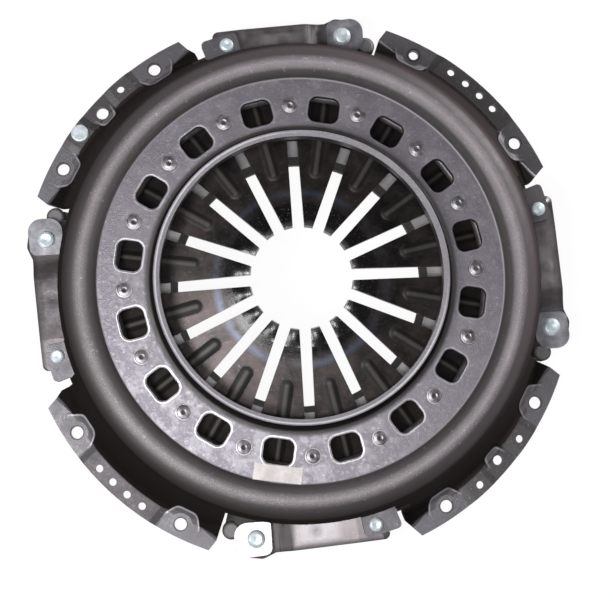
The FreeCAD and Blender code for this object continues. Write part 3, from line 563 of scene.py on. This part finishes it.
# Drive straps, which flex as the plate lifts: spring leaves, dark along the edges, with a painted highlight
# down the middle, painted shade across the bent part and one round mark. They run from the shelf rivet to
# the lug rivet.

strapLook = {
    # the worn colour is the painted highlight down the middle, and the mark colour also paints shade across
    # the bent part
    "low": (0.098, 0.085, 0.088), "high": (0.178, 0.159, 0.165), "edge": (0.012, 0.011, 0.011),
    "worn": (0.300, 0.290, 0.310), "mark": (0.020, 0.017, 0.017),
    "cloudNoise": (55.0, 4.0, 0.62), "fineNoise": (1100.0, 3.0, 0.65), "patchFade": (0.38, 0.62),
    "lineOut": 0.2055, "lineStart": 0.034, "lineLean": 0.0529,
    "edgeFade": (0.0085, 0.0128), "rubBand": (-0.0150, 0.0190, 0.0080), "rubWidthFade": (0.0080, 0.0055),
    "bendBand": (-0.0400, -0.0190, 0.0060), "markPlace": 0.001, "markFade": (0.0062, 0.0030),
    "markWander": 0.004, "dentFade": (0.0080, 0.0), "dentDepth": 0.0004,
    "fineRelief": 0.00006, "cloudRelief": 0.0003, "patchShares": {"cloud": 0.8, "fine": 0.2},
    "coats": (("rub", 0.35, "worn"), ("mark", 0.30, "mark"), ("bend", 0.60, "mark"),
              ("edge", 0.85, "edge")),
    "metalLevel": 0.75, "metal": {"dull": -0.4}, "roughLevel": 0.42, "rough": {"sway": 0.3, "dull": 0.18},
    "from": (0.2055, 0.034, 0.030), "to": (0.2092, -0.036, 0.018), "cuts": 14,
    "weld": 0.00001, "smoothAngle": 30,
}


def makeStrapFinish():
    look = strapLook
    f = Finish("strapSteel", IOR=1.6).coords()
    cloud, fine = f.noises(look, "cloud", "fine")
    outward, along = f.turned(f.repeatedAngle(bayCount, 0))
    across = outward - (look["lineOut"] + (look["lineStart"] - along) * look["lineLean"])
    markGap = distance(across, along - look["markPlace"]) + (cloud - 0.5) * look["markWander"]
    # painted shade across the bent part and a painted highlight down the middle
    edge = across.abs().step(*look["edgeFade"])
    bend = along.band(*look["bendBand"])
    on = {"cloud": cloud, "fine": fine, "sway": cloud - 0.5, "edge": edge, "bend": bend,
          "dull": edge.max(bend), "mark": markGap.step(*look["markFade"]),
          "rub": along.band(*look["rubBand"]) * across.abs().step(*look["rubWidthFade"])}
    patch = summed(on, look["patchShares"]).step(*look["patchFade"])
    body = f.layered(f.blendColour(patch, look["low"], look["high"]), look, on, "coats")
    relief = (fine - 0.5) * look["fineRelief"] + (cloud - 0.5) * look["cloudRelief"]
    relief = relief - markGap.step(*look["dentFade"]) * look["dentDepth"]
    f.paint(Base_Color=body, Metallic=summed(on, look["metal"], look["metalLevel"]),
            Roughness=summed(on, look["rough"], look["roughLevel"]), Normal=f.bump(relief))
    return f


def makeStrap(number, finish):
    # a copy of the solid with extra rows across it, so that it bends evenly
    node = nodes["drive_strap_%d" % number]
    strap = node.copy()
    strap.data = node.data.copy()
    strap.parent = None
    strap.matrix_world = Matrix.Identity(4)
    strap.name = "flexingStrap%d" % number
    bpy.context.collection.objects.link(strap)
    bpy.ops.object.select_all(action="DESELECT")
    strap.select_set(True)
    bpy.context.view_layer.objects.active = strap
    turned = Matrix.Rotation(math.radians(360 / bayCount * (number - 1)), 3, "Z")
    high = turned @ Vector(strapLook["from"])
    low = turned @ Vector(strapLook["to"])
    lengthwise = ((low - high) * Vector((1, 1, 0))).normalized()
    bpy.ops.object.mode_set(mode="EDIT")
    bpy.ops.mesh.select_all(action="SELECT")
    bpy.ops.mesh.remove_doubles(threshold=strapLook["weld"])
    for row in range(strapLook["cuts"] + 1):
        bpy.ops.mesh.select_all(action="SELECT")
        bpy.ops.mesh.bisect(plane_co=high.lerp(low, row / strapLook["cuts"]), plane_no=lengthwise)
    bpy.ops.object.mode_set(mode="OBJECT")
    bpy.ops.object.shade_smooth_by_angle(angle=math.radians(strapLook["smoothAngle"]))
    strap.data.materials.clear()
    strap.data.materials.append(finish.material)
    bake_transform(strap)
    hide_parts(node.name)


strapFinish = makeStrapFinish()
for number in range(1, bayCount + 1):
    makeStrap(number, strapFinish)


# Blank paper label on the flat ring

labelLook = {
    "paper": (0.62, 0.57, 0.565), "worn": (0.46, 0.42, 0.415),
    "stainNoise": (70.0, 3.0, 0.6), "fibreNoise": (900.0, 2.0, 0.6), "wornFade": (0.42, 0.60),
    "shares": {"stain": 0.7, "fibre": 0.3}, "relief": 0.0004,
    "place": (-0.0292, -0.1565, 0.0600), "size": (0.0395, 0.0132, 0.00022), "turn": -10.3,
}


def makeLabel():
    look = labelLook
    bpy.ops.object.select_all(action="DESELECT")
    x, y, z = look["place"]
    bpy.ops.mesh.primitive_cube_add(size=1.0, location=(x, y, z + look["size"][2] / 2))
    label = bpy.context.object
    label.name = "blankLabel"
    label.scale = look["size"]
    label.rotation_euler = (0, 0, math.radians(look["turn"]))
    bpy.ops.object.transform_apply(location=True, rotation=True, scale=True)
    f = Finish("labelPaper", IOR=1.45, Roughness=0.62).coords()
    stain, fibre = f.noises(look, "stain", "fibre")
    clean = summed({"stain": stain, "fibre": fibre}, look["shares"]).step(*look["wornFade"])
    body = f.blendColour(clean, look["worn"], look["paper"])
    f.paint(Base_Color=body, Normal=f.bump((stain - 0.5) * look["relief"]))
    label.data.materials.append(f.material)
    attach(label, "cover")


makeLabel()
print("label laid on the ring")


# Floor and sky. The camera, mirrors and glass see them white, and the part is lit
# by a dimmer floor and a dimmer sky, so that its far flanks stay dark.

stageLook = {
    "floorSize": 8.0, "floorDrop": 0.0004, "glow": (0.93, 0.93, 0.93), "faint": (0.07, 0.07, 0.07),
    "pale": (0.30, 0.30, 0.30), "white": (1.0, 1.0, 1.0),
    "skyFade": (0.25, 0.60), "overhead": 0.04, "fill": 0.20,
}


def makeFloor():
    bpy.ops.object.select_all(action="DESELECT")
    bpy.ops.mesh.primitive_plane_add(size=stageLook["floorSize"], location=(0, 0, -stageLook["floorDrop"]))
    floor = bpy.context.object
    floor.name = "floor"
    bpy.ops.object.transform_apply(location=True, rotation=True, scale=True)
    f = Finish("paleFloor")
    f.tree.nodes.remove(f.shader)
    matt = f.node("BsdfDiffuse", {}, {"Color": stageLook["pale"]})
    faint = f.node("BsdfDiffuse", {}, {"Color": stageLook["faint"]})
    glow = f.node("Emission", {}, {"Color": stageLook["glow"]})
    both = f.node("MixShader", {}, [f.seenRay(), matt, f.node("AddShader", {}, [faint, glow])])
    f.tree.links.new(both.out, f.output.inputs[0])
    floor.data.materials.append(f.material)


def makeWorld():
    # pale round the horizon, where a view can see it, and dim overhead
    world = bpy.data.worlds.new("studio")
    bpy.context.scene.world = world
    world.use_nodes = True
    world.node_tree.nodes.clear()
    sky = Wiring(world.node_tree)
    split = sky.node("SeparateXYZ", {}, [sky.node("TexCoord", {}, {}, out="Generated")])
    level = 1.0 - split.part(2).step(*stageLook["skyFade"]) * (1.0 - stageLook["overhead"])
    seen = sky.seenRay()
    strength = seen * level + (1.0 - seen) * stageLook["fill"]
    shown = sky.node("Background", {}, {"Color": stageLook["white"], "Strength": strength})
    output = sky.tree.nodes.new("ShaderNodeOutputWorld")
    sky.tree.links.new(shown.out, output.inputs[0])


# Lamps, which all look at the middle of the part, and the camera

lampLook = {
    "target": (0, 0, 0.03),
    "softLamp": {"place": (-0.078, -0.205, 1.25), "size": 0.26, "power": 6.6},
    "sideLamp": {"place": (1.00, 0.72, 0.17), "size": 0.4, "power": 14.0},
    "wideLamp": {"place": (-0.62, -0.28, 1.10), "size": 0.5, "power": 13.6},
}
cameraLook = {"place": (-0.04886, -0.12336, 1.2281), "turnVector": (0.08439, -0.03937, -0.06379),
              "focalPixels": 1438.8, "shiftPixels": (-2.69, 10.15), "widthPixels": 613,
              "sensor": 36.0, "near": 0.05}


def makeLamp(name):
    look = lampLook[name]
    lamp = bpy.data.lights.new(name, "AREA")
    lamp.shape = "DISK"
    lamp.size = look["size"]
    lamp.energy = look["power"]
    holder = bpy.data.objects.new(name, lamp)
    bpy.context.collection.objects.link(holder)
    holder.location = look["place"]
    towards = Vector(lampLook["target"]) - holder.location
    holder.rotation_euler = towards.to_track_quat("-Z", "Y").to_euler()


def makeCamera():
    look = cameraLook
    across, down = look["shiftPixels"]
    lens = bpy.data.cameras.new("camera")
    lens.sensor_width = look["sensor"]
    lens.lens = look["focalPixels"] / look["widthPixels"] * look["sensor"]
    lens.shift_x = -across / look["widthPixels"]
    lens.shift_y = down / look["widthPixels"]
    lens.clip_start = look["near"]
    camera = bpy.data.objects.new("camera", lens)
    bpy.context.collection.objects.link(camera)
    turn = Vector(look["turnVector"])
    turned = Matrix.Rotation(turn.length, 4, turn.normalized())
    camera.matrix_world = Matrix.Translation(look["place"]) @ turned
    bpy.context.scene.camera = camera


makeFloor()
makeWorld()
for name in ("softLamp", "sideLamp", "wideLamp"):
    makeLamp(name)
makeCamera()
bpy.context.scene.view_settings.view_transform = "Standard"
print("stage set")
